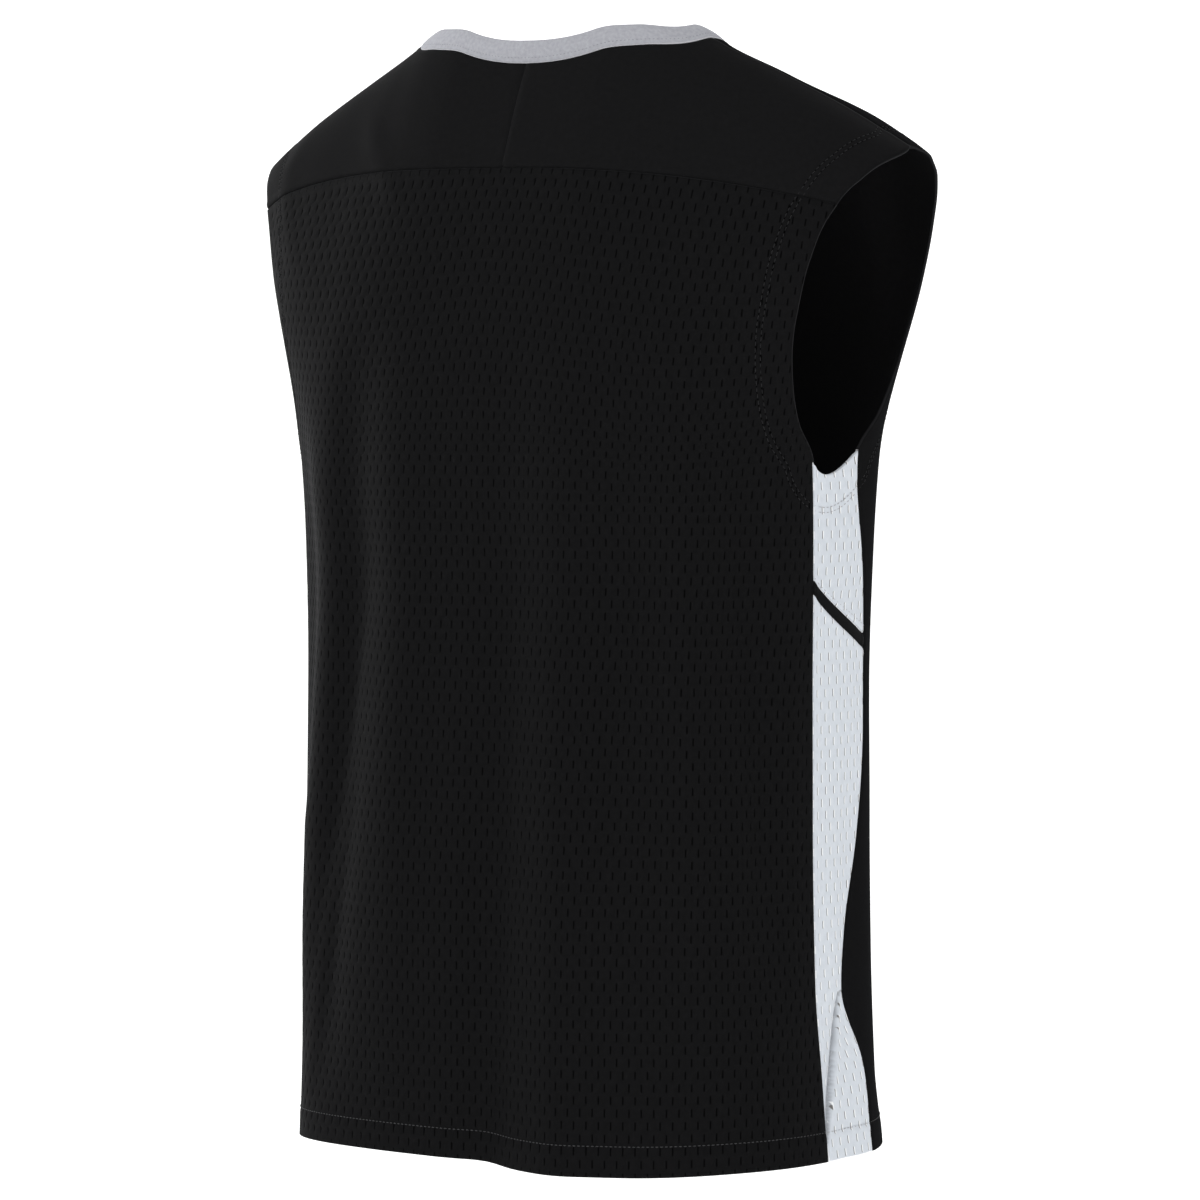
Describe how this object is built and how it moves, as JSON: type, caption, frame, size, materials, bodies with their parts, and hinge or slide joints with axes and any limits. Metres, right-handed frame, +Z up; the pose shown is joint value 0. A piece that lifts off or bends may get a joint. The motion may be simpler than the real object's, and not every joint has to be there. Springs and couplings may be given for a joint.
{
  "type": "sleeveless jersey",
  "caption": "Loose sleeveless sports jersey, filled out as if worn: mesh back under a plain yoke, pale side panels crossed by a slanting dark band, ribbed round collar.",
  "frame": {"origin": "middle of the neck, in the middle plane, at the height where the shoulder seams meet the collar", "axes": "+Z up, +Y towards the wearer's back, +X towards the wearer's left"},
  "size_m": [0.474, 0.2786, 0.7145],
  "materials": {
    "black_mesh": "matte knitted mesh with small upright dents in offset rows",
    "black_knit": "matte smooth knit",
    "white_mesh": "matte knitted mesh with small upright dents in offset rows",
    "grey_rib": "soft heather rib"
  },
  "bodies": {
    "root": {"back": "black_mesh", "front": "black_knit", "yoke_left": "black_knit", "yoke_right": "black_knit", "side_left_lower": "white_mesh", "side_left_band": "black_knit", "side_left_upper": "white_mesh", "side_right_lower": "white_mesh", "side_right_band": "black_knit", "side_right_upper": "white_mesh", "collar": "grey_rib"}
  },
  "joints": []
}
